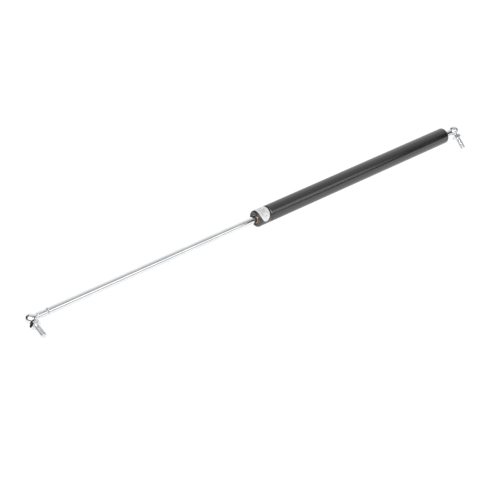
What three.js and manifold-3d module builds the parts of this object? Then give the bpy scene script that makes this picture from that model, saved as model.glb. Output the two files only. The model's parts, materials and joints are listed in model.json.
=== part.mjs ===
// Gas strut stay: a 10/23 mm gas spring, fully extended, with a round metal ball socket and an M8 ball
// stud at each end. Units are millimetres, +Z is up, and +X runs along the strut from the rod end to the
// tube end. The origin is the centre of the ball at the tube end. The rod slides into the tube along +X.
import * as THREE from 'three';
import { mergeVertices } from 'three/addons/utils/BufferGeometryUtils.js';
import Module from 'manifold-3d';

const wasm = await Module();
wasm.setup();

// ---- driving dimensions --------------------------------------------------------------------------

// along the strut, from the tube-end ball centre at x = 0
const TUBE_END_X = -22.3;          // closed end of the pressure tube
const TUBE_LENGTH = 367;
const ROD_VISIBLE = 325.5;         // chromed rod outside the tube when the strut is fully extended
const ROD_NECK = 0.5;              // bare thread between the rod's shoulder and its socket
const SOCKET_LENGTH = 22.8;        // ball centre to the end of the shank
const MOUTH_X = TUBE_END_X - TUBE_LENGTH;
const ROD_SHOULDER_X = MOUTH_X - ROD_VISIBLE;
const ROD_BALL_X = ROD_SHOULDER_X - ROD_NECK - SOCKET_LENGTH;

// how far each stud is turned about the strut, from straight down towards -Y
const ROD_STUD_TURN = THREE.MathUtils.degToRad(71.5);
const TUBE_STUD_TURN = THREE.MathUtils.degToRad(46.5);

// pressure tube
const TUBE_R = 11.5;
const TUBE_WALL = 1.1;
const TUBE_BORE_R = TUBE_R - TUBE_WALL;
const RIM_ROUND = 2.2;             // rolled corner at the mouth
const END_ROUND = 2.6;             // rolled corner at the closed end
const LIP_R = 7.5;                 // opening left inside each rolled lip
const GROOVE_FROM_MOUTH = 20.75;   // roll-formed groove that locks the guide and seal in place
const GROOVE_HALF = 1.75;
const GROOVE_DEPTH = 0.9;
const GROOVE_X = MOUTH_X + GROOVE_FROM_MOUTH;

// rod and threads
const ROD_R = 5;
const M6_R = 3;                    // end threads of the rod and the plug, inside the sockets
const M8_R = 4;                    // threads of the ball studs
const RUNNING_GAP = 0.1;           // radial play round the rod
const STACK_GAP = 0.1;             // play between stacked pieces

// ball joint: a ball in a resin seat, in a round socket whose lip is rolled in behind the ball
const BALL_R = 5;
const SEAT_INNER_R = 5.1;
const SEAT_OUTER_R = 5.9;
const SEAT_EDGE = 3.9;             // ball centre to the seat's open edge
const CAVITY_R = 6;
const HEAD_R = 7;                  // outside of the socket
const LIP_OPENING_R = 4.2;         // hole in the rolled lip, where the stud's neck comes out
const SHANK_R = 4.5;
const SHANK_START = 9.1;           // ball centre to the step where the shank's full width begins
const WAIST_R = 3.9;               // between the round head and the shank
const SHANK_BORE_R = M6_R + 0.3;
const SHANK_BORE_BOTTOM = 10.3;
const STUD_SEAT = 12.5;            // ball centre to the face that seats on the bracket
const STUD_LENGTH = 30;            // ball centre to the tip of the thread
const HEX_ACROSS_FLATS = 13;
const HEX_THICK = 4.5;
const NECK_R = 2.9;

// facets round a turned piece: multiples of four, so that each reaches its full radius on Y and Z
const FINE = 36;
const MEDIUM = 24;

// ---- materials -----------------------------------------------------------------------------------

function material(color, roughness, metalness) {
  return new THREE.MeshStandardMaterial({ color, roughness, metalness });
}

const blackPaint = () => material(0x232427, 0.35, 0.2);
const chrome = () => material(0xdfe2e5, 0.1, 1);
const zincPlate = () => material(0xc4c8cb, 0.28, 1);
const plainSteel = () => material(0x8f9296, 0.45, 1);
const paper = () => material(0xeeeeee, 0.6, 0);
const rubber = () => material(0x18191a, 0.8, 0);
const guideResin = () => material(0x26282b, 0.55, 0);
const bronze = () => material(0x9c7440, 0.4, 1);
const zincCast = () => material(0xa8abad, 0.5, 0.9);
const slideResin = () => material(0x3b4038, 0.5, 0);

// ---- helpers -------------------------------------------------------------------------------------

// Points of a circular arc in an (x, radius) profile. Angles are in degrees.
function arc(x, r, radius, from, to, steps) {
  const points = [];
  for (let i = 0; i <= steps; i += 1) {
    const angle = THREE.MathUtils.degToRad(from + (to - from) * i / steps);
    points.push([x + radius * Math.cos(angle), r + radius * Math.sin(angle)]);
  }
  return points;
}

// Turned solid about the X axis. The profile is a list of [x, radius] that runs clockwise when x points
// right and radius points up, and it starts and ends on the axis or is closed here on its first point.
function turned(profile, segments = MEDIUM) {
  const points = profile.map(([x, r]) => new THREE.Vector2(r, x));
  if (profile[0][1] > 0) points.push(points[0].clone());
  const geometry = new THREE.LatheGeometry(points, segments);
  geometry.rotateZ(-Math.PI / 2);
  return geometry;
}

// The same about the Z axis, for a profile of [z, radius].
function turnedUp(profile, segments = MEDIUM) {
  return turned(profile, segments).rotateY(-Math.PI / 2);
}

// Plain ring or washer between two stations on the X axis, with its edges broken.
function ring(x0, x1, inner, outer, segments = MEDIUM, edge = 0.2) {
  return turned([
    [x0, inner], [x0, outer - edge], [x0 + edge, outer],
    [x1 - edge, outer], [x1, outer - edge], [x1, inner],
  ], segments);
}

function bar(x0, x1, y0, y1, z0, z1) {
  const geometry = new THREE.BoxGeometry(x1 - x0, y1 - y0, z1 - z0);
  return geometry.translate((x0 + x1) / 2, (y0 + y1) / 2, (z0 + z1) / 2);
}

function toSolid(geometry) {
  const plain = geometry.clone();
  plain.deleteAttribute('normal');
  plain.deleteAttribute('uv');
  const merged = mergeVertices(plain, 1e-4);
  const index = merged.index.array;
  const triangles = [];
  for (let i = 0; i < index.length; i += 3) {
    const [a, b, c] = index.subarray(i, i + 3);
    if (a !== b && b !== c && c !== a) triangles.push(a, b, c);
  }
  const mesh = new wasm.Mesh({
    numProp: 3,
    vertProperties: new Float32Array(merged.attributes.position.array),
    triVerts: new Uint32Array(triangles),
  });
  return new wasm.Manifold(mesh);
}

function toGeometry(solid) {
  const mesh = solid.getMesh();
  const geometry = new THREE.BufferGeometry();
  geometry.setAttribute('position', new THREE.BufferAttribute(mesh.vertProperties, 3));
  geometry.setIndex(new THREE.BufferAttribute(mesh.triVerts, 1));
  geometry.computeVertexNormals();
  return geometry;
}

function node(parent, name, geometry, look) {
  const mesh = new THREE.Mesh(geometry, look);
  mesh.name = name;
  parent.add(mesh);
}

// ---- pressure tube and label ---------------------------------------------------------------------

// One wall of the roll-formed groove: a smooth dip of the given radius line.
function grooveLine(radius) {
  const stations = [-1, -0.5, 0, 0.5, 1];
  return stations.map((t) => [
    GROOVE_X + t * GROOVE_HALF,
    radius - GROOVE_DEPTH * (1 + Math.cos(Math.PI * t)) / 2,
  ]);
}

function pressureTube() {
  const innerRim = RIM_ROUND - TUBE_WALL;
  const innerEnd = END_ROUND - TUBE_WALL;
  const mouthCorner = MOUTH_X + RIM_ROUND;
  const endCorner = TUBE_END_X - END_ROUND;
  return turned([
    [MOUTH_X, LIP_R],
    ...arc(mouthCorner, TUBE_R - RIM_ROUND, RIM_ROUND, 180, 90, 3),
    ...grooveLine(TUBE_R),
    ...arc(endCorner, TUBE_R - END_ROUND, END_ROUND, 90, 0, 3),
    [TUBE_END_X, LIP_R],
    [TUBE_END_X - TUBE_WALL, LIP_R],
    ...arc(endCorner, TUBE_R - END_ROUND, innerEnd, 0, 90, 2),
    ...grooveLine(TUBE_BORE_R).reverse(),
    ...arc(mouthCorner, TUBE_R - RIM_ROUND, innerRim, 90, 180, 2),
    [MOUTH_X + TUBE_WALL, LIP_R],
  ], FINE);
}

// Thin oval sticker wrapped round the tube, with its columns on the tube's own facet edges.
function label() {
  const centreX = MOUTH_X + 10.4;
  const halfLength = 8.2;
  const bluntLength = 1.4;
  const innerR = TUBE_R + 0.03;
  const outerR = TUBE_R + 0.25;
  const step = 360 / FINE;
  const centre = -2 * step;          // from straight up, turned towards -Y
  const halfColumns = 8;
  const corners = [];
  for (let i = -halfColumns; i <= halfColumns; i += 1) {
    const angle = THREE.MathUtils.degToRad(centre + i * step);
    const reach = Math.max(bluntLength, halfLength * Math.sqrt(1 - (i / halfColumns) ** 2));
    for (const [x, r] of [[-reach, innerR], [-reach, outerR], [reach, outerR], [reach, innerR]]) {
      corners.push(centreX + x, r * Math.sin(angle), r * Math.cos(angle));
    }
  }
  const last = 4 * 2 * halfColumns;
  const index = [0, 3, 2, 0, 2, 1, last, last + 1, last + 2, last, last + 2, last + 3];
  for (let base = 0; base < last; base += 4) {
    for (let side = 0; side < 4; side += 1) {
      const a = base + side;
      const b = base + (side + 1) % 4;
      index.push(a, b, b + 4, a, b + 4, a + 4);
    }
  }
  const geometry = new THREE.BufferGeometry();
  geometry.setAttribute('position', new THREE.Float32BufferAttribute(corners, 3));
  geometry.setIndex(index);
  geometry.computeVertexNormals();
  return geometry;
}

// ---- closed end ----------------------------------------------------------------------------------

const PLUG_R = TUBE_BORE_R - STACK_GAP;
const PLUG_FACE_X = TUBE_END_X - TUBE_WALL - STACK_GAP;
const PLUG_THICK = 12;
const PLUG_BOSS_R = LIP_R - 0.2;
const PLUG_BOSS_X = TUBE_END_X - 0.8;
const PLUG_GROOVE = { from: 4, to: 6.8, radius: 8.6 };   // behind the plug's outer face

function endPlug() {
  const corner = END_ROUND - TUBE_WALL;
  const back = PLUG_FACE_X - PLUG_THICK;
  return turned([
    [back, 0], [back, PLUG_R - 0.6], [back + 0.6, PLUG_R],
    [PLUG_FACE_X - PLUG_GROOVE.to, PLUG_R], [PLUG_FACE_X - PLUG_GROOVE.to, PLUG_GROOVE.radius],
    [PLUG_FACE_X - PLUG_GROOVE.from, PLUG_GROOVE.radius], [PLUG_FACE_X - PLUG_GROOVE.from, PLUG_R],
    [PLUG_FACE_X - corner, PLUG_R], [PLUG_FACE_X, PLUG_R - corner],
    [PLUG_FACE_X, PLUG_BOSS_R], [PLUG_BOSS_X - 0.3, PLUG_BOSS_R], [PLUG_BOSS_X, PLUG_BOSS_R - 0.3],
    [PLUG_BOSS_X, M6_R],
    [-SHANK_BORE_BOTTOM - 1.6, M6_R], [-SHANK_BORE_BOTTOM - 0.6, M6_R - 1], [-SHANK_BORE_BOTTOM - 0.6, 0],
  ]);
}

// O-ring squeezed to an oval section between two radii.
function oRing(x, inner, outer, halfWidth) {
  const middle = (inner + outer) / 2;
  const halfHeight = (outer - inner) / 2;
  const sides = 8;
  const profile = [];
  for (let i = 0; i < sides; i += 1) {
    const angle = -2 * Math.PI * i / sides;
    profile.push([x + halfWidth * Math.cos(angle), middle + halfHeight * Math.sin(angle)]);
  }
  return turned(profile);
}

function plugORing() {
  const centre = PLUG_FACE_X - (PLUG_GROOVE.from + PLUG_GROOVE.to) / 2;
  return oRing(centre, PLUG_GROOVE.radius + 0.05, TUBE_BORE_R - 0.05, 1.2);
}

// ---- rod guide and seal, locked between the rolled mouth and the groove --------------------------

const GUIDE_FRONT_X = MOUTH_X + TUBE_WALL + STACK_GAP;
const GUIDE_BACK_X = GUIDE_FRONT_X + 10.4;
const GUIDE_NOSE_X = MOUTH_X + 0.4;
const LINER_OUTER_R = 6.1;
const GUIDE_GROOVE = { from: 5, to: 7.4, radius: 8.8 };  // behind the guide's front face
const SEAL_LENGTH = 4.8;
const SEAL_FRONT_X = GUIDE_BACK_X + STACK_GAP;
const SUPPORT_FRONT_X = SEAL_FRONT_X + SEAL_LENGTH + STACK_GAP;
const SUPPORT_BACK_X = GROOVE_X - GROOVE_HALF - STACK_GAP;
const PACKAGE_R = TUBE_BORE_R - STACK_GAP;

function rodGuide() {
  const corner = RIM_ROUND - TUBE_WALL;
  const boreR = LINER_OUTER_R + STACK_GAP;
  return turned([
    [GUIDE_NOSE_X, boreR], [GUIDE_NOSE_X, LIP_R - 0.5], [GUIDE_NOSE_X + 0.3, LIP_R - 0.2],
    [GUIDE_FRONT_X, LIP_R - 0.2], [GUIDE_FRONT_X, PACKAGE_R - corner],
    [GUIDE_FRONT_X + corner, PACKAGE_R],
    [GUIDE_FRONT_X + GUIDE_GROOVE.from, PACKAGE_R], [GUIDE_FRONT_X + GUIDE_GROOVE.from, GUIDE_GROOVE.radius],
    [GUIDE_FRONT_X + GUIDE_GROOVE.to, GUIDE_GROOVE.radius], [GUIDE_FRONT_X + GUIDE_GROOVE.to, PACKAGE_R],
    [GUIDE_BACK_X, PACKAGE_R], [GUIDE_BACK_X, boreR],
  ]);
}

function guideLiner() {
  return ring(GUIDE_NOSE_X + 0.3, GUIDE_BACK_X - 0.2, ROD_R + RUNNING_GAP, LINER_OUTER_R);
}

function guideORing() {
  const centre = GUIDE_FRONT_X + (GUIDE_GROOVE.from + GUIDE_GROOVE.to) / 2;
  return oRing(centre, GUIDE_GROOVE.radius + 0.05, TUBE_BORE_R - 0.05, 1);
}

// Rubber rod seal with a lip on the gas side of its ring.
function rodSeal() {
  const back = SEAL_FRONT_X + SEAL_LENGTH;
  const boreR = ROD_R + RUNNING_GAP;
  return turned([
    [SEAL_FRONT_X, boreR + 0.6], [SEAL_FRONT_X, PACKAGE_R - 0.3], [SEAL_FRONT_X + 0.3, PACKAGE_R],
    [back - 1, PACKAGE_R], [back, PACKAGE_R - 0.8], [back, 8.3], [back - 1.6, 7.6], [back - 1.6, 6.6],
    [back, 6], [back, boreR], [back - 0.8, boreR], [back - 1.8, boreR + 0.5],
    [SEAL_FRONT_X + 1.8, boreR + 0.5], [SEAL_FRONT_X + 1, boreR], [SEAL_FRONT_X + 0.6, boreR],
  ]);
}

function sealSupportRing() {
  return ring(SUPPORT_FRONT_X, SUPPORT_BACK_X, ROD_R + 0.4, PACKAGE_R - 0.1);
}

// ---- rod and piston ------------------------------------------------------------------------------

const PISTON_STACK_X = GROOVE_X + GROOVE_HALF + 0.3;
const SPIGOT_R = 3;
const WASHER = { from: 0, to: 1.6, radius: 8.8 };        // stations behind the rod's inner shoulder
const PISTON = { from: 1.7, to: 8.7, radius: 10 };
const PISTON_GROOVE = { from: 3.4, to: 7, radius: 8 };
const ORIFICE = { from: 8.8, to: 10, radius: 6.8 };
const RIVET = { from: 10.1, to: 12.1, radius: 4.4 };
const BORE_R = SPIGOT_R + 0.1;

function pistonRod() {
  const neckR = M6_R - 0.5;
  const tip = ROD_BALL_X + SHANK_BORE_BOTTOM + 0.6;
  const socketEnd = ROD_BALL_X + SOCKET_LENGTH;
  const x = PISTON_STACK_X;
  return turned([
    [tip, 0], [tip, M6_R - 1], [tip + 1, M6_R],
    [socketEnd - 1, M6_R], [socketEnd - 0.4, neckR], [ROD_SHOULDER_X, neckR],
    [ROD_SHOULDER_X, ROD_R - 0.5], [ROD_SHOULDER_X + 0.5, ROD_R],
    [x, ROD_R], [x, SPIGOT_R], [x + RIVET.from, SPIGOT_R],
    [x + RIVET.from, RIVET.radius], [x + RIVET.to - 0.8, RIVET.radius], [x + RIVET.to, RIVET.radius - 1.4],
    [x + RIVET.to, 0],
  ]);
}

function pistonWasher() {
  return ring(PISTON_STACK_X + WASHER.from + STACK_GAP, PISTON_STACK_X + WASHER.to, BORE_R, WASHER.radius);
}

function piston() {
  const from = PISTON_STACK_X + PISTON.from;
  const to = PISTON_STACK_X + PISTON.to;
  const grooveFrom = PISTON_STACK_X + PISTON_GROOVE.from;
  const grooveTo = PISTON_STACK_X + PISTON_GROOVE.to;
  return turned([
    [from, BORE_R], [from, PISTON.radius - 0.4], [from + 0.4, PISTON.radius],
    [grooveFrom, PISTON.radius], [grooveFrom, PISTON_GROOVE.radius],
    [grooveTo, PISTON_GROOVE.radius], [grooveTo, PISTON.radius],
    [to - 0.4, PISTON.radius], [to, PISTON.radius - 0.4], [to, BORE_R],
  ]);
}

// Split ring that floats in the piston's groove and slides on the tube's bore.
function pistonRing() {
  const from = PISTON_STACK_X + PISTON_GROOVE.from + 0.2;
  const to = PISTON_STACK_X + PISTON_GROOVE.to - 0.2;
  const inner = PISTON_GROOVE.radius + 0.2;
  const outer = TUBE_BORE_R - 0.08;
  const gap = bar(from - 1, to + 1, -0.6, 0.6, inner - 1, outer + 1);
  return toGeometry(toSolid(ring(from, to, inner, outer, FINE)).subtract(toSolid(gap)));
}

function orificeDisc() {
  return ring(PISTON_STACK_X + ORIFICE.from, PISTON_STACK_X + ORIFICE.to, BORE_R, ORIFICE.radius);
}

// ---- ball socket, seat and stud ------------------------------------------------------------------
// Each is made with the ball centre at its origin, the shank along +X and the stud along -Z.

function ballSocket() {
  const shank = turned([
    [0, 0], [0, WAIST_R], [SHANK_START - 0.3, WAIST_R], [SHANK_START + 0.3, SHANK_R],
    [SOCKET_LENGTH - 0.6, SHANK_R], [SOCKET_LENGTH, SHANK_R - 0.6], [SOCKET_LENGTH, 0],
  ]);
  const head = turnedUp(arc(0, 0, HEAD_R, 180, 0, 14), FINE);
  const cavity = turnedUp(arc(0, 0, CAVITY_R, 180, 0, 10));
  const opening = turnedUp([
    [-HEAD_R - 1, 0], [-HEAD_R - 1, LIP_OPENING_R], [-SEAT_EDGE + 0.5, LIP_OPENING_R], [-SEAT_EDGE + 0.5, 0],
  ]);
  const bore = turned([
    [SHANK_BORE_BOTTOM, 0], [SHANK_BORE_BOTTOM, SHANK_BORE_R],
    [SOCKET_LENGTH + 1, SHANK_BORE_R], [SOCKET_LENGTH + 1, 0],
  ]);
  const outside = toSolid(shank).add(toSolid(head));
  return toGeometry(outside.subtract(toSolid(cavity)).subtract(toSolid(opening)).subtract(toSolid(bore)));
}

// Thin resin cup round the ball, open where the neck comes out.
function ballSeat() {
  const edgeAngle = (radius) => THREE.MathUtils.radToDeg(Math.acos(-SEAT_EDGE / radius));
  return turnedUp([
    [SEAT_INNER_R, 0], ...arc(0, 0, SEAT_INNER_R, 0, edgeAngle(SEAT_INNER_R), 9).slice(1),
    ...arc(0, 0, SEAT_OUTER_R, edgeAngle(SEAT_OUTER_R), 0, 9).slice(0, -1), [SEAT_OUTER_R, 0],
  ]);
}

// The hexagon has flats across X, or corners there when it is turned by 30 degrees.
function ballStud(hexTurn) {
  const hexTop = HEX_THICK - STUD_SEAT;
  const neckTop = -Math.sqrt(BALL_R ** 2 - NECK_R ** 2);
  const startAngle = THREE.MathUtils.radToDeg(Math.atan2(NECK_R, neckTop));
  const body = turnedUp([
    [-STUD_LENGTH, 0], [-STUD_LENGTH, M8_R - 1], [-STUD_LENGTH + 1, M8_R],
    [-STUD_SEAT, M8_R], [-STUD_SEAT + 1, M8_R], [hexTop, NECK_R + 1.6], [hexTop + 1, NECK_R],
    ...arc(0, 0, BALL_R, startAngle, 0, 9).slice(0, -1),
    [BALL_R, 0],
  ]);
  const cornerR = HEX_ACROSS_FLATS / 2 / Math.cos(Math.PI / 6);
  const flatR = HEX_ACROSS_FLATS / 2;
  const chamfer = (cornerR - flatR) * Math.tan(Math.PI / 6);
  const prism = new THREE.CylinderGeometry(cornerR, cornerR, HEX_THICK, 6);
  prism.rotateX(Math.PI / 2).rotateZ(hexTurn).translate(0, 0, hexTop - HEX_THICK / 2);
  const trim = turnedUp([
    [-STUD_SEAT, 0], [-STUD_SEAT, flatR], [-STUD_SEAT + chamfer, cornerR + 0.01],
    [hexTop - chamfer, cornerR + 0.01], [hexTop, flatR], [hexTop, 0],
  ], FINE);
  return toGeometry(toSolid(body).add(toSolid(prism).intersect(toSolid(trim))));
}

// Frame of one end: the ball centre, turned so that the stud leans towards -Y, with the shank along
// +X at the rod end and along -X at the tube end.
function endFrame(x, studTurn, flipped) {
  const leaning = new THREE.Group();
  leaning.position.x = x;
  leaning.rotation.x = -studTurn;
  const facing = new THREE.Group();
  facing.rotation.z = flipped ? Math.PI : 0;
  leaning.add(facing);
  group.add(leaning);
  return facing;
}

// ---- assembly ------------------------------------------------------------------------------------

const group = new THREE.Group();

node(group, 'pressure_tube', pressureTube(), blackPaint());
node(group, 'label', label(), paper());
node(group, 'end_plug', endPlug(), zincPlate());
node(group, 'end_plug_o_ring', plugORing(), rubber());
node(group, 'rod_guide', rodGuide(), guideResin());
node(group, 'guide_liner', guideLiner(), bronze());
node(group, 'guide_o_ring', guideORing(), rubber());
node(group, 'rod_seal', rodSeal(), rubber());
node(group, 'seal_support_ring', sealSupportRing(), plainSteel());

node(group, 'piston_rod', pistonRod(), chrome());
node(group, 'piston_washer', pistonWasher(), plainSteel());
node(group, 'piston', piston(), zincCast());
node(group, 'piston_ring', pistonRing(), slideResin());
node(group, 'orifice_disc', orificeDisc(), plainSteel());

const ends = [
  { name: 'rod', frame: endFrame(ROD_BALL_X, ROD_STUD_TURN, false), hexTurn: Math.PI / 6 },
  { name: 'tube', frame: endFrame(0, TUBE_STUD_TURN, true), hexTurn: 0 },
];
for (const end of ends) {
  node(end.frame, `${end.name}_socket`, ballSocket(), zincPlate());
  node(end.frame, `${end.name}_stud`, ballStud(end.hexTurn), zincPlate());
  node(end.frame, `${end.name}_ball_seat`, ballSeat(), slideResin());
}

export default group;
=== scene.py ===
"""Gas strut stay: every piece in its fine shape and finish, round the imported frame.

Shapes are worked out in millimetres along the strut's own axis, X, and scaled to metres once.
Where a piece lies comes from the frame: its node's box, or its joint.
"""
import json
import math

import bpy
import numpy as np
from mathutils import Matrix, Vector


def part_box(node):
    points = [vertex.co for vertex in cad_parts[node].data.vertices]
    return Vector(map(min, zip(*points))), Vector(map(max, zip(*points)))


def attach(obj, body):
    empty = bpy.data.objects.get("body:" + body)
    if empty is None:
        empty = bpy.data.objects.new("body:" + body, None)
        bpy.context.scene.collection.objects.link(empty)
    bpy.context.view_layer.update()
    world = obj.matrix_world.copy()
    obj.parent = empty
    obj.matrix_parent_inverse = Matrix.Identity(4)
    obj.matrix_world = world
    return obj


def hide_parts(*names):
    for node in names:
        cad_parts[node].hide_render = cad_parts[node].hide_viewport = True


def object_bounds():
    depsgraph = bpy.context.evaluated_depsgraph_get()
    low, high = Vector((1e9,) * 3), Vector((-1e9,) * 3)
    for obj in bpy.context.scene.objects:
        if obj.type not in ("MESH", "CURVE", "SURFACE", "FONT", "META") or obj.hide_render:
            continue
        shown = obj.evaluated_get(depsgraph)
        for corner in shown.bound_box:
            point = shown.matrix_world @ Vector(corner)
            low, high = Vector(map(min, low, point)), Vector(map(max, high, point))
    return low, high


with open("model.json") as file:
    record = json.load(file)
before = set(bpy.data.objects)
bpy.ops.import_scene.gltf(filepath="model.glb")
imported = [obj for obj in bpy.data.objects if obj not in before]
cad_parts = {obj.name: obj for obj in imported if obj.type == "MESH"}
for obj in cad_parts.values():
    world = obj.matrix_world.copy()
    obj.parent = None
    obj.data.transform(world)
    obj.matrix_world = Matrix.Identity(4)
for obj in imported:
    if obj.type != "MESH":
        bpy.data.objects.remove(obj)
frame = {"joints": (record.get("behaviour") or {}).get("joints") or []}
cad_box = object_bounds()

MM = 0.001
COLUMNS = 96          # columns round a turned piece
joints = {joint["name"]: joint for joint in frame["joints"]}


# ---- the frame, in millimetres -------------------------------------------------------------------

def span(node):
    """Where a node starts and ends along X, and its largest radius there."""
    low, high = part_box(node)
    return low.x / MM, high.x / MM, (high.z - low.z) / 2 / MM


MOUTH_X, TUBE_END_X, TUBE_R = span("pressure_tube")

WALL = 1.1
BORE_R = TUBE_R - WALL
LIP_R = 7.5           # opening left inside each rolled lip
LIP_GAP = 0.2         # between that opening and the nose or boss that stands in it
ROLL_GAP = 0.1        # between a rolled wall and the face behind it
RIM_ROUND = 2.2       # rolled corner at the mouth
END_ROUND = 2.6       # rolled corner at the closed end
GROOVE_X = MOUTH_X + 20.75    # middle of the rolled groove
GROOVE_HALF = 1.75
GROOVE_DEPTH = 0.9
LABEL_THICK = 0.13
LABEL_GAP = 0.02

PLUG_GROOVE = (6.8, 4.0)     # groove for the O-ring: from and to, behind the plug's face
PLUG_GROOVE_R = 8.6
GUIDE_GROOVE = (5.0, 7.4)    # the same, behind the guide's face
GUIDE_GROOVE_R = 8.8
GUIDE_BORE_R = 6.2
O_RING_GAP = 0.05     # between an O-ring and the bottom of its groove
RUNNING_R = 5.1       # bores that run on the rod
SUPPORT_BORE_R = 5.4

SPIGOT_R = 3.0        # end of the rod that carries the piston
SPIGOT_BORE_R = 3.1
RIVET_R = 4.4
RIVET_THICK = 2.0
STACK_X = GROOVE_X + GROOVE_HALF + 0.3    # where the pieces on the spigot begin
RING_GROOVE = (STACK_X + 3.4, STACK_X + 7.0)
RING_GROOVE_R = 8.0

BALL_R = 5.0
SEAT_INNER_R = 5.1
SEAT_OUTER_R = 5.9
SEAT_EDGE = 3.9       # ball centre to the seat's open edge
CAVITY_R = 6.0
HEAD_R = 7.0          # outside of the round socket
LIP_OPENING_R = 4.2   # hole in its rolled lip
SHANK_R = 4.5
SHANK_START = 9.1     # ball centre to the step where the shank's full width begins
WAIST_R = 3.9         # between the round head and the shank
SOCKET_LENGTH = 22.8
SHANK_BORE_BOTTOM = 10.3
ROD_SOCKET_END = joints["rod_stud_swivel"]["pos_m"][0] / MM + SOCKET_LENGTH
SHOULDER_GAP = 0.2    # between the rod's shoulder and its socket
M6_R = 3.0
M6_ROOT_R = M6_R - 0.5
M6_PITCH = 1.0
M6_GAP = 0.3          # between an M6 thread and the bore round it
M8_R = 4.0
M8_PITCH = 1.25
STUD_SEAT = 12.5      # ball centre to the hexagon's lower face
STUD_LENGTH = 30.0    # ball centre to the tip of the thread
HEX_THICK = 4.5
HEX_HALF = 6.5        # half the width across flats
HEX_CHAMFER = 0.25    # the chamfer's start, inside the middle of a flat
NECK_R = 2.9


# ---- mesh helpers --------------------------------------------------------------------------------

def make_piece(name, points, faces, look, sharp=35.0, normals=None):
    """A mesh object from points in millimetres, with its faces turned outwards."""
    points = np.asarray(points, float)
    corners = [points[[face[0], face[i], face[i + 1]]] for face in faces for i in range(1, len(face) - 1)]
    corners = np.array(corners)
    volume = np.einsum("ij,ij->i", corners[:, 0], np.cross(corners[:, 1], corners[:, 2])).sum()
    if volume < 0:
        faces = [face[::-1] for face in faces]
    mesh = bpy.data.meshes.new(name)
    mesh.from_pydata((points * MM).tolist(), [], [list(map(int, face)) for face in faces])
    mesh.validate()
    mesh.shade_smooth()
    if normals is not None:
        mesh.normals_split_custom_set_from_vertices([tuple(n) for n in normals])
    else:
        mesh.set_sharp_from_angle(angle=math.radians(sharp))
    mesh.materials.append(look)
    piece = bpy.data.objects.new(name, mesh)
    bpy.context.scene.collection.objects.link(piece)
    return piece


def arc(x, r, radius, start, end, steps=8):
    """Points of a circular arc in an (x, radius) profile, with angles in degrees."""
    angles = np.radians(np.linspace(start, end, steps + 1))
    return [(x + radius * math.cos(a), r + radius * math.sin(a)) for a in angles]


def broken(profile, edge=0.2, steps=3, closed=False):
    """The same profile with each of its corners rounded to about the given radius."""
    result = []
    count = len(profile)
    for i, point in enumerate(profile):
        if not closed and i in (0, count - 1):
            result.append(point)
            continue
        here = np.array(point)
        before = np.array(profile[i - 1]) - here
        after = np.array(profile[(i + 1) % count]) - here
        reach_in, reach_out = np.linalg.norm(before), np.linalg.norm(after)
        turn = math.acos(np.clip(before @ after / (reach_in * reach_out), -1, 1))
        if turn > math.radians(155):
            result.append(point)
            continue
        first = here + before / reach_in * min(edge, 0.4 * reach_in)
        last = here + after / reach_out * min(edge, 0.4 * reach_out)
        for t in np.linspace(0, 1, steps + 1):
            result.append(tuple((1 - t) ** 2 * first + 2 * t * (1 - t) * here + t * t * last))
    return result


def loft(rings, closed=False):
    """Points and faces of a skin over rings of equal count; a ring of one point is a pole."""
    points, starts = [], []
    for ring in rings:
        starts.append(len(points))
        points.extend(ring)
    faces = []
    pairs = list(zip(range(len(rings) - 1), range(1, len(rings))))
    if closed:
        pairs.append((len(rings) - 1, 0))
    for a, b in pairs:
        count_a, count_b = len(rings[a]), len(rings[b])
        for k in range(max(count_a, count_b)):
            n = (k + 1) % max(count_a, count_b)
            if count_a == 1:
                faces.append((starts[a], starts[b] + k, starts[b] + n))
            elif count_b == 1:
                faces.append((starts[a] + k, starts[b], starts[a] + n))
            else:
                faces.append((starts[a] + k, starts[b] + k, starts[b] + n, starts[a] + n))
    return points, faces


def ring_about_x(x, radius, columns=COLUMNS):
    """Points of one ring of a turned piece, or the single point of a pole."""
    if radius < 1e-6:
        return [(x, 0.0, 0.0)]
    angles = np.arange(columns) * 2 * math.pi / columns
    return [(x, radius * math.sin(a), radius * math.cos(a)) for a in angles]


def turned(name, profile, look, columns=COLUMNS):
    """A piece turned about X from (x, radius) points, which start and end on the axis or form a loop."""
    closed = profile[0][1] > 1e-6
    points, faces = loft([ring_about_x(x, r, columns) for x, r in profile], closed)
    return make_piece(name, points, faces, look)


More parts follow.
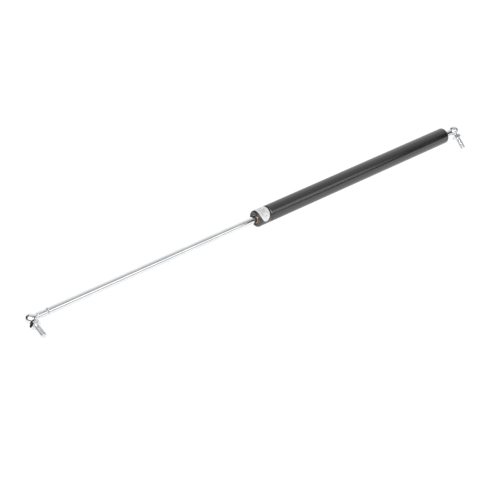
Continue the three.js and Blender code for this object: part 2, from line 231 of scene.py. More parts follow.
def skin(distance, low, high, cell):
    """Points, quads and normals of the closed surface where distance(points) is zero.

    A net of points, one in each cell that the surface crosses, is pulled on to the surface.
    """
    axes = [np.arange(a, b + cell, cell) for a, b in zip(low, high)]
    grid = np.stack(np.meshgrid(*axes, indexing="ij"), -1)
    field = distance(grid.reshape(-1, 3)).reshape(grid.shape[:3])
    shape = np.array(field.shape) - 1
    total, hits = np.zeros((*shape, 3)), np.zeros(shape)

    def corner(offset):
        return tuple(slice(o, o + n) for o, n in zip(offset, shape))

    for axis in range(3):
        step = np.eye(3, dtype=int)[axis]
        others = [i for i in range(3) if i != axis]
        for a in (0, 1):
            for b in (0, 1):
                start = np.zeros(3, int)
                start[others[0]], start[others[1]] = a, b
                near, far = corner(start), corner(start + step)
                crossed = (field[near] < 0) != (field[far] < 0)
                with np.errstate(divide="ignore", invalid="ignore"):
                    share = np.where(crossed, field[near] / (field[near] - field[far]), 0)
                spot = grid[near] + share[..., None] * (grid[far] - grid[near])
                total += np.where(crossed[..., None], spot, 0)
                hits += crossed
    used = hits > 0
    number = np.full(shape, -1)
    number[used] = np.arange(used.sum())
    points = total[used] / hits[used][:, None]

    faces = []
    for axis in range(3):
        u, v = (axis + 1) % 3, (axis + 2) % 3
        inner = [slice(1, n) for n in shape]
        inner[axis] = slice(0, shape[axis])
        ahead = list(inner)
        ahead[axis] = slice(1, shape[axis] + 1)
        inside = field[tuple(inner)] < 0
        outside_next = field[tuple(ahead)] < 0
        for flip in (False, True):
            spots = np.argwhere((inside & ~outside_next) if not flip else (~inside & outside_next))
            spots[:, u] += 1
            spots[:, v] += 1
            quad = []
            for du, dv in ((1, 1), (0, 1), (0, 0), (1, 0)):
                cells = spots.copy()
                cells[:, u] -= du
                cells[:, v] -= dv
                quad.append(number[tuple(cells.T)])
            quad = np.stack(quad, 1)
            faces.append(quad if not flip else quad[:, ::-1])
    faces = np.concatenate(faces)

    for _ in range(4):
        slope = gradient(distance, points)
        size = np.einsum("ij,ij->i", slope, slope)[:, None]
        points = points - np.clip(distance(points)[:, None] * slope / size, -cell, cell)
    slope = gradient(distance, points)
    return points, faces, slope / np.linalg.norm(slope, axis=1)[:, None]


def gradient(distance, points, reach=0.02):
    """Slope of distance(points) along each axis."""
    slope = np.zeros_like(points)
    for axis in range(3):
        shift = np.zeros(3)
        shift[axis] = reach
        slope[:, axis] = (distance(points + shift) - distance(points - shift)) / (2 * reach)
    return slope


def merge(a, b, blend):
    """Distance to two shapes joined with a fillet of about that size."""
    h = np.clip(0.5 + 0.5 * (b - a) / blend, 0, 1)
    return b + (a - b) * h - blend * h * (1 - h)


def cut(a, b, blend):
    """Distance to shape a with b taken away, and the edge between them broken."""
    return -merge(-a, b, blend)


def rod_distance(along, across, start, end, radius, rounding):
    """Distance to a round bar from start to end along its axis, with rounded ends."""
    middle, half = (start + end) / 2, (end - start) / 2
    p = np.abs(along - middle) - half + rounding
    q = across - radius + rounding
    outside = np.hypot(np.maximum(p, 0), np.maximum(q, 0))
    return np.minimum(np.maximum(p, q), 0) + outside - rounding


# ---- materials -----------------------------------------------------------------------------------

class Look:
    """A node material with a Principled shader, built step by step."""

    def __init__(self, name, color, roughness, metallic=0.0, ior=1.5):
        self.material = bpy.data.materials.new(name)
        self.material.use_nodes = True
        self.tree = self.material.node_tree
        self.shader = self.tree.nodes["Principled BSDF"]
        self.shader.inputs["Base Color"].default_value = (*color, 1)
        self.shader.inputs["Roughness"].default_value = roughness
        self.shader.inputs["Metallic"].default_value = metallic
        self.shader.inputs["IOR"].default_value = ior
        self.place = self.tree.nodes.new("ShaderNodeTexCoord").outputs["Object"]

    def node(self, kind, settings=None, **sockets):
        """A new node; a socket is given by its name, or by its number as i0, i1 and so on."""
        made = self.tree.nodes.new(kind)
        for key, value in (settings or {}).items():
            setattr(made, key, value)
        for key, value in sockets.items():
            target = made.inputs[int(key[1:])] if key[0] == "i" and key[1:].isdigit() else made.inputs[key]
            if isinstance(value, bpy.types.NodeSocket):
                self.tree.links.new(value, target)
            else:
                target.default_value = value
        return made

    def stretched(self, x, y, z):
        """The place on the piece, in metres, scaled along each axis."""
        return self.node("ShaderNodeMapping", Vector=self.place, Scale=(x, y, z)).outputs["Vector"]

    def noise(self, place, scale=1.0, detail=4.0, rough=0.55):
        made = self.node("ShaderNodeTexNoise", Vector=place, Scale=scale, Detail=detail, Roughness=rough)
        return made.outputs["Fac"]

    def ramp(self, value, low, high, out_low=0.0, out_high=1.0):
        kind = {"interpolation_type": "SMOOTHSTEP"}
        sockets = {"Value": value, "From Min": low, "From Max": high, "To Min": out_low, "To Max": out_high}
        return self.node("ShaderNodeMapRange", kind, **sockets).outputs["Result"]

    def math(self, operation, a, b=0.0):
        return self.node("ShaderNodeMath", {"operation": operation}, i0=a, i1=b).outputs[0]

    def blend(self, share, a, b):
        made = self.node("ShaderNodeMix", {"data_type": "RGBA"}, i0=share)
        for key, value in ((6, a), (7, b)):
            if isinstance(value, bpy.types.NodeSocket):
                self.tree.links.new(value, made.inputs[key])
            else:
                made.inputs[key].default_value = (*value, 1)
        return made.outputs[2]

    def set(self, **sockets):
        for key, value in sockets.items():
            target = self.shader.inputs[key.replace("_", " ")]
            if isinstance(value, bpy.types.NodeSocket):
                self.tree.links.new(value, target)
            else:
                target.default_value = value
        return self

    def bump(self, height, depth):
        """Bump whose full height is depth metres."""
        made = self.node("ShaderNodeBump", Height=height, Strength=1.0, Distance=depth)
        self.set(Normal=made.outputs["Normal"])
        return self


def black_paint():
    """Baked black enamel: satin gloss, faint orange peel, faint lengthwise draw lines and thin dust."""
    look = Look("black_paint", (0.01, 0.0105, 0.012), 0.22, ior=1.85)
    peel = look.noise(look.place, 900.0, 3.0)
    cloud = look.noise(look.stretched(12, 90, 90), 1.0, 5.0)
    draw = look.noise(look.stretched(4, 1400, 1400), 1.0, 2.0)
    dust = look.ramp(look.noise(look.place, 5200.0, 2.0), 0.7, 0.8)
    rough = look.math("ADD", look.ramp(cloud, 0.3, 0.7, 0.17, 0.25), look.math("MULTIPLY", draw, 0.05))
    shade = look.blend(look.ramp(cloud, 0.35, 0.75), (0.008, 0.0085, 0.01), (0.014, 0.0145, 0.0165))
    shade = look.blend(look.math("MULTIPLY", dust, 0.12), shade, (0.16, 0.16, 0.165))
    look.set(Base_Color=shade, Roughness=rough)
    height = look.math("ADD", look.math("MULTIPLY", peel, 0.7), look.math("MULTIPLY", draw, 0.3))
    return look.bump(height, 0.000012).material


def chrome():
    """Hard chrome, ground and polished: very fine marks round the rod and long faint ones along it."""
    look = Look("chrome", (0.82, 0.83, 0.84), 0.07, metallic=1.0)
    rings = look.noise(look.stretched(5200, 60, 60), 1.0, 3.0)
    wipe = look.noise(look.stretched(9, 700, 700), 1.0, 3.0)
    cloud = look.noise(look.place, 45.0, 4.0)
    rough = look.math("ADD", look.ramp(rings, 0.3, 0.7, 0.04, 0.08), look.ramp(wipe, 0.45, 0.75, 0.0, 0.03))
    shade = look.blend(look.ramp(cloud, 0.35, 0.7), (0.8, 0.81, 0.825), (0.87, 0.875, 0.88))
    look.set(Base_Color=shade, Roughness=rough)
    return look.bump(look.math("ADD", rings, wipe), 0.0000012).material


def plated(name, dark, light, low, high):
    """Barrel-plated steel: slightly clouded, with small dings from tumbling."""
    look = Look(name, light, low, metallic=1.0)
    cloud = look.noise(look.place, 260.0, 5.0)
    grain = look.noise(look.place, 2600.0, 3.0)
    dings = look.ramp(look.noise(look.place, 700.0, 1.0, 0.4), 0.62, 0.74)
    rough = look.math("ADD", look.ramp(cloud, 0.3, 0.7, low, high), look.math("MULTIPLY", dings, 0.08))
    look.set(Base_Color=look.blend(look.ramp(cloud, 0.3, 0.75), light, dark), Roughness=rough)
    height = look.math("SUBTRACT", look.math("MULTIPLY", grain, 0.25), dings)
    return look.bump(height, 0.000004).material


def turned_metal(name, color, roughness):
    """Machined metal with tool marks round the axis."""
    look = Look(name, color, roughness, metallic=1.0)
    marks = look.noise(look.stretched(6500, 90, 90), 1.0, 2.0)
    cloud = look.noise(look.place, 300.0, 4.0)
    shade = tuple(0.82 * c for c in color)
    look.set(Base_Color=look.blend(look.ramp(cloud, 0.35, 0.7), color, shade))
    look.set(Roughness=look.ramp(marks, 0.3, 0.7, roughness - 0.07, roughness + 0.08))
    return look.bump(marks, 0.000006).material


def moulded(name, color, roughness, depth):
    """Moulded rubber or resin with a fine matt grain."""
    look = Look(name, color, roughness)
    grain = look.noise(look.place, 3200.0, 4.0)
    cloud = look.noise(look.place, 350.0, 3.0)
    pale = tuple(1.5 * c + 0.004 for c in color)
    look.set(Base_Color=look.blend(look.ramp(cloud, 0.35, 0.75), color, pale))
    look.set(Roughness=look.ramp(grain, 0.3, 0.7, roughness - 0.08, roughness + 0.08))
    return look.bump(grain, depth).material


def label_film():
    """White film with plain printed bars and rules that spell nothing. UV is in millimetres."""
    look = Look("label_film", (0.86, 0.86, 0.86), 0.42)
    uv = look.node("ShaderNodeUVMap", {"uv_map": "print"}).outputs["UV"]
    split = look.node("ShaderNodeSeparateXYZ", Vector=uv)
    along, around = split.outputs["X"], split.outputs["Y"]

    def within(value, low, high, soft=0.12):
        up = look.ramp(value, low - soft, low + soft)
        down = look.ramp(value, high - soft, high + soft, 1.0, 0.0)
        return look.math("MULTIPLY", up, down)

    def box_mask(x0, x1, y0, y1):
        return look.math("MULTIPLY", within(along, x0, x1), within(around, y0, y1))

    def bars(value, half_pitch, share, soft=0.06):
        saw = look.math("PINGPONG", value, half_pitch)
        return look.ramp(saw, half_pitch * share - soft, half_pitch * share + soft, 1.0, 0.0)

    ink = look.math("MULTIPLY", box_mask(*PRINTED_BARS), bars(around, BAR_HALF_PITCH, BAR_SHARE))
    for x0, x1, y0, y1 in PRINTED_RULES:
        ink = look.math("MAXIMUM", ink, box_mask(x0, x1, y0, y1))
    fade = look.ramp(look.noise(look.place, 1500.0, 3.0), 0.3, 0.7, 0.6, 0.95)
    ink = look.math("MULTIPLY", ink, fade)
    cloud = look.ramp(look.noise(look.place, 160.0, 3.0), 0.35, 0.65)
    paper = look.blend(cloud, (0.87, 0.87, 0.87), (0.72, 0.72, 0.73))
    look.set(Base_Color=look.blend(ink, paper, (0.2, 0.2, 0.22)))
    look.set(Roughness=look.ramp(look.noise(look.place, 900.0, 3.0), 0.3, 0.7, 0.34, 0.5))
    return look.bump(look.noise(look.place, 420.0, 3.0), 0.00003).material


# printed marks on the label: from and to along the strut, then round the tube, in millimetres
PRINTED_BARS = (-1.5, 2.4, -2.6, 3.2)
BAR_HALF_PITCH, BAR_SHARE = 0.42, 0.45
PRINTED_RULES = [
    (-4.6, -3.9, -7.0, -1.2),
    (-4.6, -3.9, 0.2, 6.4),
    (-3.2, -2.7, -5.2, 4.4),
    (3.9, 4.5, -6.6, -2.0),
    (3.9, 4.5, -0.8, 5.6),
    (-1.0, 2.2, 5.6, 6.2),
    (-0.6, 2.6, -8.6, -7.9),
    (-1.8, 1.2, 8.4, 8.9),
]

BLACK = black_paint()
CHROME = chrome()
ZINC = plated("zinc_plate", (0.7, 0.71, 0.72), (0.84, 0.85, 0.86), 0.06, 0.12)
STEEL = turned_metal("plain_steel", (0.46, 0.465, 0.47), 0.34)
BRONZE = turned_metal("bronze", (0.56, 0.39, 0.21), 0.32)
CAST = turned_metal("zinc_cast", (0.52, 0.525, 0.535), 0.45)
RUBBER = moulded("rubber", (0.016, 0.016, 0.017), 0.62, 0.00002)
RESIN = moulded("guide_resin", (0.028, 0.028, 0.032), 0.45, 0.00001)
SLIDE = moulded("slide_resin", (0.075, 0.085, 0.065), 0.5, 0.00001)
LABEL = label_film()


def install(piece, body, node):
    """The piece takes a CAD node's place, on the node's body."""
    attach(piece, body)
    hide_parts(node)


# ---- pressure tube and label ---------------------------------------------------------------------

def groove_line(radius):
    """The roll-formed groove: a smooth dip of the wall at the given radius."""
    return [
        (GROOVE_X + t * GROOVE_HALF, radius - GROOVE_DEPTH * (1 + math.cos(math.pi * t)) / 2)
        for t in np.linspace(-1, 1, 17)
    ]


def pressure_tube():
    mouth_corner = MOUTH_X + RIM_ROUND
    end_corner = TUBE_END_X - END_ROUND
    profile = [
        *arc(MOUTH_X + WALL / 2, LIP_R + WALL / 2, WALL / 2, 270, 180, 5),
        *arc(mouth_corner, TUBE_R - RIM_ROUND, RIM_ROUND, 180, 90, 12),
        *groove_line(TUBE_R),
        *arc(end_corner, TUBE_R - END_ROUND, END_ROUND, 90, 0, 12),
        *arc(TUBE_END_X - WALL / 2, LIP_R + WALL / 2, WALL / 2, 0, -180, 10),
        *arc(end_corner, TUBE_R - END_ROUND, END_ROUND - WALL, 0, 90, 8),
        *groove_line(BORE_R)[::-1],
        *arc(mouth_corner, TUBE_R - RIM_ROUND, RIM_ROUND - WALL, 90, 180, 8),
        *arc(MOUTH_X + WALL / 2, LIP_R + WALL / 2, WALL / 2, 360, 270, 5)[:-1],
    ]
    return turned("tube_shell", profile, BLACK, 144)


def label():
    """Thin oval film wrapped on the tube, with a rounded edge that lifts by a hair here and there."""
    node_low, node_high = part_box("label")
    centre_x = (node_low.x + node_high.x) / 2 / MM
    half_length = (node_high.x - node_low.x) / 2 / MM
    centre_angle = math.radians(20)      # from straight up, turned towards -Y
    half_wrap = math.radians(80)
    outline_points = 120
    turns = np.arange(outline_points) * 2 * math.pi / outline_points

    def place(share, lift):
        """A loop of the film at that share of its half size, lifted off its underside."""
        ring = []
        for a in turns:
            x = centre_x + half_length * share * math.cos(a)
            angle = -centre_angle + half_wrap * share * math.sin(a)
            curl = 0.05 * share ** 12 * (0.5 + 0.5 * math.sin(3 * a + 1)) ** 2
            r = TUBE_R + LABEL_GAP + lift + curl
            ring.append((x, r * math.sin(angle), r * math.cos(angle)))
        return ring

    shares = list(np.linspace(0.06, 0.985, 18))
    edge = [(0.996, 0.8), (1.0, 0.5), (0.997, 0.1)]    # share of the half size, share of the thickness
    rings = [[(centre_x, *top_point(TUBE_R + LABEL_GAP + LABEL_THICK, -centre_angle))]]
    rings += [place(s, LABEL_THICK) for s in shares]
    rings += [place(s, height * LABEL_THICK) for s, height in edge]
    rings += [place(s, 0.0) for s in shares[::-1]]
    rings.append([(centre_x, *top_point(TUBE_R + LABEL_GAP, -centre_angle))])
    points, faces = loft(rings)
    piece = make_piece("oval_label", points, faces, LABEL, sharp=60)
    uv = piece.data.uv_layers.new(name="print")
    co = np.array([v.co for v in piece.data.vertices]) / MM
    around = (np.arctan2(co[:, 1], co[:, 2]) + centre_angle) * TUBE_R
    flat = np.stack([co[:, 0] - centre_x, around], 1)
    loops = np.array([loop.vertex_index for loop in piece.data.loops])
    uv.data.foreach_set("uv", flat[loops].ravel())
    return piece


def top_point(radius, angle):
    """Y and Z of a point at that angle from straight up."""
    return radius * math.sin(angle), radius * math.cos(angle)


# ---- turned inner pieces -------------------------------------------------------------------------

def end_plug():
    back, tip, plug_r = span("end_plug")
    face = TUBE_END_X - WALL - ROLL_GAP
    boss = TUBE_END_X - 0.8
    boss_r = LIP_R - LIP_GAP
    corner = END_ROUND - WALL
    groove_start, groove_end = face - PLUG_GROOVE[0], face - PLUG_GROOVE[1]
    body = broken([
        (back, 0), (back, plug_r), (groove_start, plug_r), (groove_start, PLUG_GROOVE_R),
        (groove_end, PLUG_GROOVE_R), (groove_end, plug_r), (face - corner, plug_r),
        (face, plug_r - corner), (face, boss_r), (boss, boss_r), (boss, M6_ROOT_R), (boss + 1, M6_ROOT_R),
    ], 0.3)
    thread = thread_line(boss + 1, tip - 0.8)
    return turned("end_plug_body", [*body, *thread, (tip, M6_R - 1), (tip, 0)], ZINC)


def thread_line(start, end):
    """Profile of an M6 thread drawn as rings, because it stays hidden in a socket's bore."""
    root_r = M6_R - 0.55 * M6_PITCH
    tooth = [(0.1, root_r), (0.45, M6_R), (0.6, M6_R), (0.95, root_r)]    # share of the pitch, radius
    count = int((end - start) / M6_PITCH)
    return [(start + (i + share) * M6_PITCH, r) for i in range(count) for share, r in tooth]


def o_ring(name, node, groove_r):
    start, end, outer = span(node)
    inner = groove_r + O_RING_GAP
    middle, half_wide, half_high = (start + end) / 2, (end - start) / 2, (outer - inner) / 2
    angles = np.radians(np.arange(0, -360, -15))
    profile = [
        (middle + half_wide * math.cos(a), (inner + outer) / 2 + half_high * math.sin(a)) for a in angles
    ]
    return turned(name, profile, RUBBER)


def ring(name, node, inner, look):
    start, end, outer = span(node)
    profile = [(start, inner), (start, outer), (end, outer), (end, inner)]
    return turned(name, broken(profile, 0.25, closed=True), look)


def rod_guide():
    nose, back, outer = span("rod_guide")
    front = MOUTH_X + WALL + ROLL_GAP
    nose_r = LIP_R - LIP_GAP
    corner = RIM_ROUND - WALL
    groove_start, groove_end = front + GUIDE_GROOVE[0], front + GUIDE_GROOVE[1]
    profile = [
        (nose, GUIDE_BORE_R), (nose, nose_r), (front, nose_r), (front, outer - corner),
        (front + corner, outer), (groove_start, outer), (groove_start, GUIDE_GROOVE_R),
        (groove_end, GUIDE_GROOVE_R), (groove_end, outer), (back, outer), (back, GUIDE_BORE_R),
    ]
    return turned("rod_guide_bush", broken(profile, 0.3, closed=True), RESIN)


def rod_seal():
    """A wiping lip in front, and a sealing lip and an outer lip behind with a pocket between them."""
    front, back, outer = span("rod_seal")
    bore, relief = RUNNING_R, RUNNING_R + 0.5
    pocket = back - 1.6
    outer_lip = [(front, outer), (back - 1, outer), (back, outer - 0.8), (back, 8.3), (pocket, 7.6)]
    sealing_lip = [(pocket, 6.6), (back, 6), (back, bore), (back - 0.8, bore), (back - 1.8, relief)]
    wiping_lip = [(front + 1.8, relief), (front + 1, bore), (front + 0.6, bore)]
    profile = [(front, bore + 0.6), *outer_lip, *sealing_lip, *wiping_lip]
    return turned("rod_lip_seal", broken(profile, 0.25, closed=True), RUBBER)


# ---- rod and piston ------------------------------------------------------------------------------

def piston_rod():
    """From its thread to the shoulder, the shaft, the spigot and the rivet head that holds the piston."""
    tip, end, rod_r = span("piston_rod")
    thread_end = ROD_SOCKET_END - 1
    thread = thread_line(tip + 1, thread_end)
    shoulder = ROD_SOCKET_END + SHOULDER_GAP
    chamfer = 0.35
    rivet = end - RIVET_THICK
    shaft = broken([
        (thread_end, M6_ROOT_R), (shoulder, M6_ROOT_R), (shoulder, rod_r - chamfer),
        (shoulder + chamfer, rod_r), (STACK_X, rod_r), (STACK_X, SPIGOT_R),
        (rivet, SPIGOT_R), (rivet, RIVET_R), (end - 0.8, RIVET_R), (end, 3), (end, 0),
    ], 0.15)
    return turned("rod_shaft", [(tip, 0), (tip, M6_R - 1), *thread, *shaft], CHROME)


def piston():
    start, end, outer = span("piston")
    groove_start, groove_end = RING_GROOVE
    profile = [
        (start, SPIGOT_BORE_R), (start, outer), (groove_start, outer), (groove_start, RING_GROOVE_R),
        (groove_end, RING_GROOVE_R), (groove_end, outer), (end, outer), (end, SPIGOT_BORE_R),
    ]
    return turned("piston_body", broken(profile, 0.3, closed=True), CAST)


def piston_ring():
    """Split ring: the section is swept round most of a turn, and capped at the gap."""
    start, end, outer = span("piston_ring")
    inner = RING_GROOVE_R + 0.2
    half_gap = 0.6 / outer        # half of the gap's 1.2 mm, as an angle
    section = broken([(start, inner), (start, outer), (end, outer), (end, inner)], 0.2, closed=True)
    angles = np.linspace(half_gap, 2 * math.pi - half_gap, COLUMNS + 1)
    rings = [[(x, -r * math.sin(a), r * math.cos(a)) for x, r in section] for a in angles]
    points, faces = loft(rings)
    last = len(points) - len(section)
    faces.append(tuple(range(len(section)))[::-1])
    faces.append(tuple(range(last, len(points))))
    return make_piece("piston_slide_ring", points, faces, SLIDE)


# ---- end fittings --------------------------------------------------------------------------------
# Each is made with the ball centre at the origin, the shank along +X and the stud along -Z.

def socket_distance(points):
    """Distance to the socket: round head, waist and shank, hollowed for the seat, the stud and the thread."""
    x, y, z = points.T
    across_x, across_z = np.hypot(y, z), np.hypot(x, y)
    from_ball = np.sqrt(across_z ** 2 + z ** 2)
    waist = rod_distance(x, across_x, 0, SHANK_START + 1, WAIST_R, 0.3)
    shank = rod_distance(x, across_x, SHANK_START, SOCKET_LENGTH, SHANK_R, 0.3)
    body = merge(from_ball - HEAD_R, waist, 0.9)
    body = merge(body, shank, 0.2)
    body = cut(body, from_ball - CAVITY_R, 0.1)
    opening = np.maximum(across_z - LIP_OPENING_R, z + SEAT_EDGE - 0.5)
    body = cut(body, opening, 0.5)
    bore = rod_distance(x, across_x, SHANK_BORE_BOTTOM, SOCKET_LENGTH + 5, M6_R + M6_GAP, 0.2)
    return cut(body, bore, 0.5)


def ball_socket(name):
    margin, cell = 0.7, 0.24
    reach = HEAD_R + margin
    low = (-reach, -reach, -reach)
    high = (SOCKET_LENGTH + margin, reach, reach)
    points, faces, normals = skin(socket_distance, low, high, cell)
    return make_piece(name, points, faces.tolist(), ZINC, normals=normals)


def thread_radius(z, angle):
    """Radius of an M8 thread at height z and the given angle: a helix with flat crests and roots."""
    depth = 0.61 * M8_PITCH
    crest_share, flank_share = 0.14, 0.66
    phase = np.mod(z / M8_PITCH + angle / (2 * math.pi), 1.0)
    from_crest = np.abs(phase - 0.5) * 2
    return M8_R - 0.04 - depth * np.clip((from_crest - crest_share) / flank_share, 0, 1)


def ball_stud(name, hex_turn):
    """Ball, neck, chamfered hexagon and helical thread in one skin of rings, from the ball down."""
    angles = np.arange(COLUMNS) * 2 * math.pi / COLUMNS
    hex_top = HEX_THICK - STUD_SEAT
    to_flat = np.mod(angles + math.pi / 6 + hex_turn, math.pi / 3) - math.pi / 6
    hexagon = HEX_HALF / np.cos(to_flat)
    chamfer = (hexagon - HEX_HALF + HEX_CHAMFER) * math.tan(math.radians(30))

    def ring_at(radius, z):
        radius, z = np.broadcast_to(radius, angles.shape), np.broadcast_to(z, angles.shape)
        return list(zip(radius * np.cos(angles), radius * np.sin(angles), z))

    rings = [[(0.0, 0.0, BALL_R)]]
    neck_z = -math.sqrt(BALL_R ** 2 - NECK_R ** 2)
    ball_end = math.atan2(NECK_R, -neck_z)
    for a in np.linspace(math.radians(4), math.pi - ball_end, 30):
        rings.append(ring_at(BALL_R * math.sin(a), BALL_R * math.cos(a)))
    rings += [ring_at(NECK_R - 0.05, neck_z - 0.5), ring_at(NECK_R - 0.05, hex_top + 1.3)]
    fillet = [(0.12, 0.85), (0.5, 0.4), (1.1, 0.1), (1.7, 0.0)]    # out from the neck, up from the hexagon
    rings += [ring_at(NECK_R + out, hex_top + up) for out, up in fillet]
    face_r = HEX_HALF - HEX_CHAMFER
    edge = 0.08           # the hexagon's edges are broken by about this much
    rings += [
        ring_at(face_r, hex_top),
        ring_at(hexagon - edge, hex_top - chamfer + 0.03),
        ring_at(hexagon, hex_top - chamfer - edge),
        ring_at(hexagon, -STUD_SEAT + chamfer + edge),
        ring_at(hexagon - edge, -STUD_SEAT + chamfer - 0.03),
        ring_at(face_r, -STUD_SEAT),
        ring_at(M8_R - 0.55, -STUD_SEAT),
        ring_at(M8_R - 0.75, -STUD_SEAT - 0.15),
    ]
    root_r = M8_R - 0.8
    thread_start, tip_chamfer, step = STUD_SEAT + 0.9, 1.0, 0.1
    for z in np.arange(-thread_start, -STUD_LENGTH + step / 2, -step):
        run_out = (-z - thread_start) * 0.9
        radius = root_r + np.minimum(thread_radius(z, angles) - root_r, run_out)
        radius = np.minimum(radius, M8_R - 0.05 - max(0.0, -z - STUD_LENGTH + tip_chamfer))
        rings.append(ring_at(radius, z))
    rings.append(ring_at(M8_R - 1.2, -STUD_LENGTH))
    rings.append([(0.0, 0.0, -STUD_LENGTH)])
    return make_piece(name, *loft(rings), ZINC, sharp=28)


def ball_seat(name):
    """Thin resin cup round the ball, open where the neck comes out."""
    inner_edge = math.degrees(math.acos(-SEAT_EDGE / SEAT_INNER_R))
    outer_edge = math.degrees(math.acos(-SEAT_EDGE / SEAT_OUTER_R))
    inner = arc(0, 0, SEAT_INNER_R, 0, inner_edge, 24)
    outer = arc(0, 0, SEAT_OUTER_R, outer_edge, 0, 24)
    profile = [(SEAT_INNER_R, 0), *inner[1:], *outer[:-1], (SEAT_OUTER_R, 0)]
    piece = turned(name, broken(profile, 0.15), SLIDE)
    piece.data.transform(Matrix.Rotation(-math.pi / 2, 4, "Y"))
    return piece


def end_placement(joint_name, flipped):
    """From a fitting's own frame to the strut's: the stud's -Z goes to the swivel's axis."""
    joint = joints[joint_name]
    down = Vector(joint["axis"])
    shank = Vector((-1, 0, 0)) if flipped else Vector((1, 0, 0))
    up = -down
    side = up.cross(shank)
    turn = Matrix((shank, side, up)).transposed().to_4x4()
    return Matrix.Translation(Vector(joint["pos_m"])) @ turn


def fit_end(end, body, flipped, hex_turn):
    """Socket, ball seat and ball stud of one end, put in place and installed."""
    placement = end_placement(f"{end}_stud_swivel", flipped)
    pieces = {
        "socket": (ball_socket(f"{end}_end_socket"), body, "zinc_plate"),
        "stud": (ball_stud(f"{end}_ball_stud", hex_turn), f"{end}_stud", "zinc_plate"),
        "ball_seat": (ball_seat(f"{end}_seat_cup"), body, "slide_resin"),
    }
    for kind, (piece, rides_on, slot) in pieces.items():
        piece.data.transform(placement)
        install(piece, rides_on, f"{end}_{kind}")


# ---- the strut -----------------------------------------------------------------------------------

install(pressure_tube(), "tube", "pressure_tube")
install(label(), "tube", "label")
install(end_plug(), "tube", "end_plug")
install(o_ring("plug_seal_ring", "end_plug_o_ring", PLUG_GROOVE_R), "tube", "end_plug_o_ring")
install(rod_guide(), "tube", "rod_guide")
install(ring("guide_bearing", "guide_liner", RUNNING_R, BRONZE), "tube", "guide_liner")
install(o_ring("guide_seal_ring", "guide_o_ring", GUIDE_GROOVE_R), "tube", "guide_o_ring")
install(rod_seal(), "tube", "rod_seal")
support_ring = ring("support_ring", "seal_support_ring", SUPPORT_BORE_R, STEEL)
install(support_ring, "tube", "seal_support_ring")

install(piston_rod(), "rod", "piston_rod")
backing_washer = ring("backing_washer", "piston_washer", SPIGOT_BORE_R, STEEL)
install(backing_washer, "rod", "piston_washer")
install(piston(), "rod", "piston")
metering_disc = ring("metering_disc", "orifice_disc", SPIGOT_BORE_R, STEEL)
install(metering_disc, "rod", "orifice_disc")
install(piston_ring(), "piston_ring", "piston_ring")

fit_end("rod", "rod", flipped=False, hex_turn=math.pi / 6)
fit_end("tube", "tube", flipped=True, hex_turn=0.0)


# ---- floor, light and camera ---------------------------------------------------------------------

def studio_floor():
    """A light table just under the lowest stud: it glows evenly, so the strut casts almost no shadow."""
    lowest = cad_box[0][2]
    half, gap = 12.0, 0.0005
    mesh = bpy.data.meshes.new("studio_floor")
    corners = [(-half, -half, 0), (half, -half, 0), (half, half, 0), (-half, half, 0)]
    mesh.from_pydata(corners, [], [(0, 1, 2, 3)])
    look = Look("studio_floor", (0.12, 0.12, 0.12), 0.9)
    look.set(Specular_IOR_Level=0.0, Emission_Color=(1, 1, 1, 1), Emission_Strength=0.98)
    mesh.materials.append(look.material)
    floor = bpy.data.objects.new("studio_floor", mesh)
    floor.location.z = lowest - gap
    bpy.context.scene.collection.objects.link(floor)


CAMERA_AZIMUTH, CAMERA_ELEVATION = math.radians(-40.6), math.radians(32.5)
CAMERA_DISTANCE = 1.7665
CAMERA_LENS = 95.5
CAMERA_AIM = (-0.0327, -0.0047, -0.0408)    # from the point halfway between the balls

# the room's three main directions: towards the photographer's place, across it, and up
TO_CAMERA = (math.sin(CAMERA_AZIMUTH), -math.cos(CAMERA_AZIMUTH), 0.0)
SIDEWAYS = (math.cos(CAMERA_AZIMUTH), math.sin(CAMERA_AZIMUTH), 0.0)

# brightness of the room: degrees up from the front about the strut's axis, then the light from there
ROOM_LIGHT = [(0, 0.22), (45, 0.25), (62, 0.5), (80, 0.57), (98, 0.68), (115, 0.88), (134, 1.05), (180, 1.08)]
HORIZON_LIGHT = 0.03
LEFT_LIGHT = 0.25                 # what is left of the light from the room's left side
DARK_UP_TO = (12, 16)             # degrees up where the dark band round the horizon fades out
SIDE_WALLS_UP_TO = (26, 40)       # the same for the dark walls at the sides
SIDE_WALLS_FROM = (0.7, 0.88)     # how far to the side these walls begin, 1 being straight sideways
LEFT_FROM = (0.2, 0.5)
WHITE_WALL_FROM = (0.6, 0.85)     # how far to the back the white wall begins


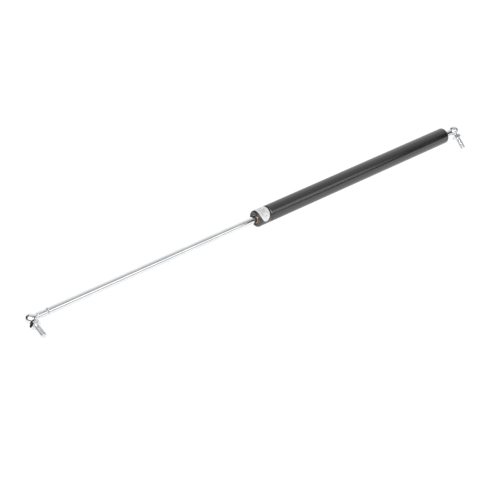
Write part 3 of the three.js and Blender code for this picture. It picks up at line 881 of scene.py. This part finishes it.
def studio_room():
    """Light from above, less of it from the left, and a white wall behind; the other walls are dark."""
    world = bpy.data.worlds.new("studio")
    bpy.context.scene.world = world
    world.use_nodes = True
    nodes, links = world.node_tree.nodes, world.node_tree.links

    def linked(node, values):
        for socket, value in zip(node.inputs, values):
            if isinstance(value, bpy.types.NodeSocket):
                links.new(value, socket)
            else:
                socket.default_value = value
        return node

    def math_node(operation, a, b=0.0):
        made = nodes.new("ShaderNodeMath")
        made.operation = operation
        return linked(made, (a, b)).outputs[0]

    def rise(value, low, high):
        made = nodes.new("ShaderNodeMapRange")
        made.interpolation_type = "SMOOTHSTEP"
        return linked(made, (value, low, high)).outputs["Result"]

    direction = nodes.new("ShaderNodeTexCoord").outputs["Generated"]
    split = linked(nodes.new("ShaderNodeSeparateXYZ"), (direction,))
    height = split.outputs["Z"]

    def dot(axis):
        made = nodes.new("ShaderNodeVectorMath")
        made.operation = "DOT_PRODUCT"
        return linked(made, (direction, axis)).outputs["Value"]

    def rise_above(degrees):
        low, high = (math.sin(math.radians(angle)) for angle in degrees)
        return rise(height, low, high)

    angle = math_node("ARCTAN2", height, math_node("MULTIPLY", split.outputs["Y"], -1.0))
    ramp = nodes.new("ShaderNodeValToRGB")
    ramp.color_ramp.interpolation = "EASE"
    stops = ramp.color_ramp.elements
    while len(stops) < len(ROOM_LIGHT):
        stops.new(0.5)
    for stop, (degrees, light) in zip(stops, ROOM_LIGHT):
        stop.position = degrees / 180
        stop.color = (light, light, light, 1)
    links.new(math_node("DIVIDE", angle, math.pi), ramp.inputs["Fac"])
    above_walls = rise_above(SIDE_WALLS_UP_TO)
    beside = rise(math_node("ABSOLUTE", dot(SIDEWAYS)), *SIDE_WALLS_FROM)
    clear = math_node("MAXIMUM", above_walls, math_node("SUBTRACT", 1.0, beside))
    above = math_node("MULTIPLY", rise_above(DARK_UP_TO), clear)
    left = rise(math_node("MULTIPLY", dot(SIDEWAYS), -1.0), *LEFT_FROM)
    dimming = math_node("MULTIPLY", left, 1.0 - LEFT_LIGHT)
    above = math_node("MULTIPLY", above, math_node("SUBTRACT", 1.0, dimming))
    behind = rise(math_node("MULTIPLY", dot(TO_CAMERA), -1.0), *WHITE_WALL_FROM)
    band = nodes.new("ShaderNodeMix")
    band.data_type = "RGBA"
    band.inputs[6].default_value = (HORIZON_LIGHT, HORIZON_LIGHT, HORIZON_LIGHT, 1)
    links.new(math_node("MAXIMUM", above, behind), band.inputs[0])
    links.new(ramp.outputs["Color"], band.inputs[7])
    links.new(band.outputs[2], nodes["Background"].inputs["Color"])


# soft boxes: x of the point on the strut that each faces, degrees round from -Y towards -X, distance, width,
# lowest and highest degrees above the strut, and brightness
SOFT_BOXES = [
    (-0.18, 0, 1.92, 3.1, 14, 44, 1.4),
    (-0.37, 75, 2.0, 1.8, 16, 62, 1.3),
    (-0.37, 33, 1.8, 0.26, 24, 54, 9.0),
]


def soft_boxes():
    """Flat lights above the strut on the camera's side, each turned to its point on the strut."""
    for number, (target, azimuth, reach, width, low, high, brightness) in enumerate(SOFT_BOXES):
        turn, middle = math.radians(azimuth), math.radians((low + high) / 2)
        outward = Vector((
            -math.sin(turn) * math.cos(middle), -math.cos(turn) * math.cos(middle), math.sin(middle)))
        data = bpy.data.lights.new(f"soft_box_{number}", "AREA")
        data.shape = "RECTANGLE"
        data.size = width
        data.size_y = 2 * reach * math.tan(math.radians(high - low) / 2)
        data.energy = brightness * math.pi * data.size * data.size_y
        box = bpy.data.objects.new(data.name, data)
        box.location = Vector((target, 0, 0)) + reach * outward
        box.rotation_euler = outward.to_track_quat("Z", "Y").to_euler()
        bpy.context.scene.collection.objects.link(box)


def studio_camera():
    """Long lens, looking down on the strut from the rod end's side."""
    azimuth, elevation = CAMERA_AZIMUTH, CAMERA_ELEVATION
    middle = Vector((joints["rod_stud_swivel"]["pos_m"][0] / 2, 0, 0))
    aim = middle + Vector(CAMERA_AIM)
    looking = Vector((
        -math.sin(azimuth) * math.cos(elevation),
        math.cos(azimuth) * math.cos(elevation),
        -math.sin(elevation),
    ))
    data = bpy.data.cameras.new("studio_camera")
    data.lens = CAMERA_LENS
    camera = bpy.data.objects.new("studio_camera", data)
    camera.location = aim - CAMERA_DISTANCE * looking
    camera.rotation_euler = (math.pi / 2 - elevation, 0, azimuth)
    bpy.context.scene.collection.objects.link(camera)
    bpy.context.scene.camera = camera


studio_floor()
studio_room()
soft_boxes()
studio_camera()
bpy.context.scene.view_settings.view_transform = "Standard"
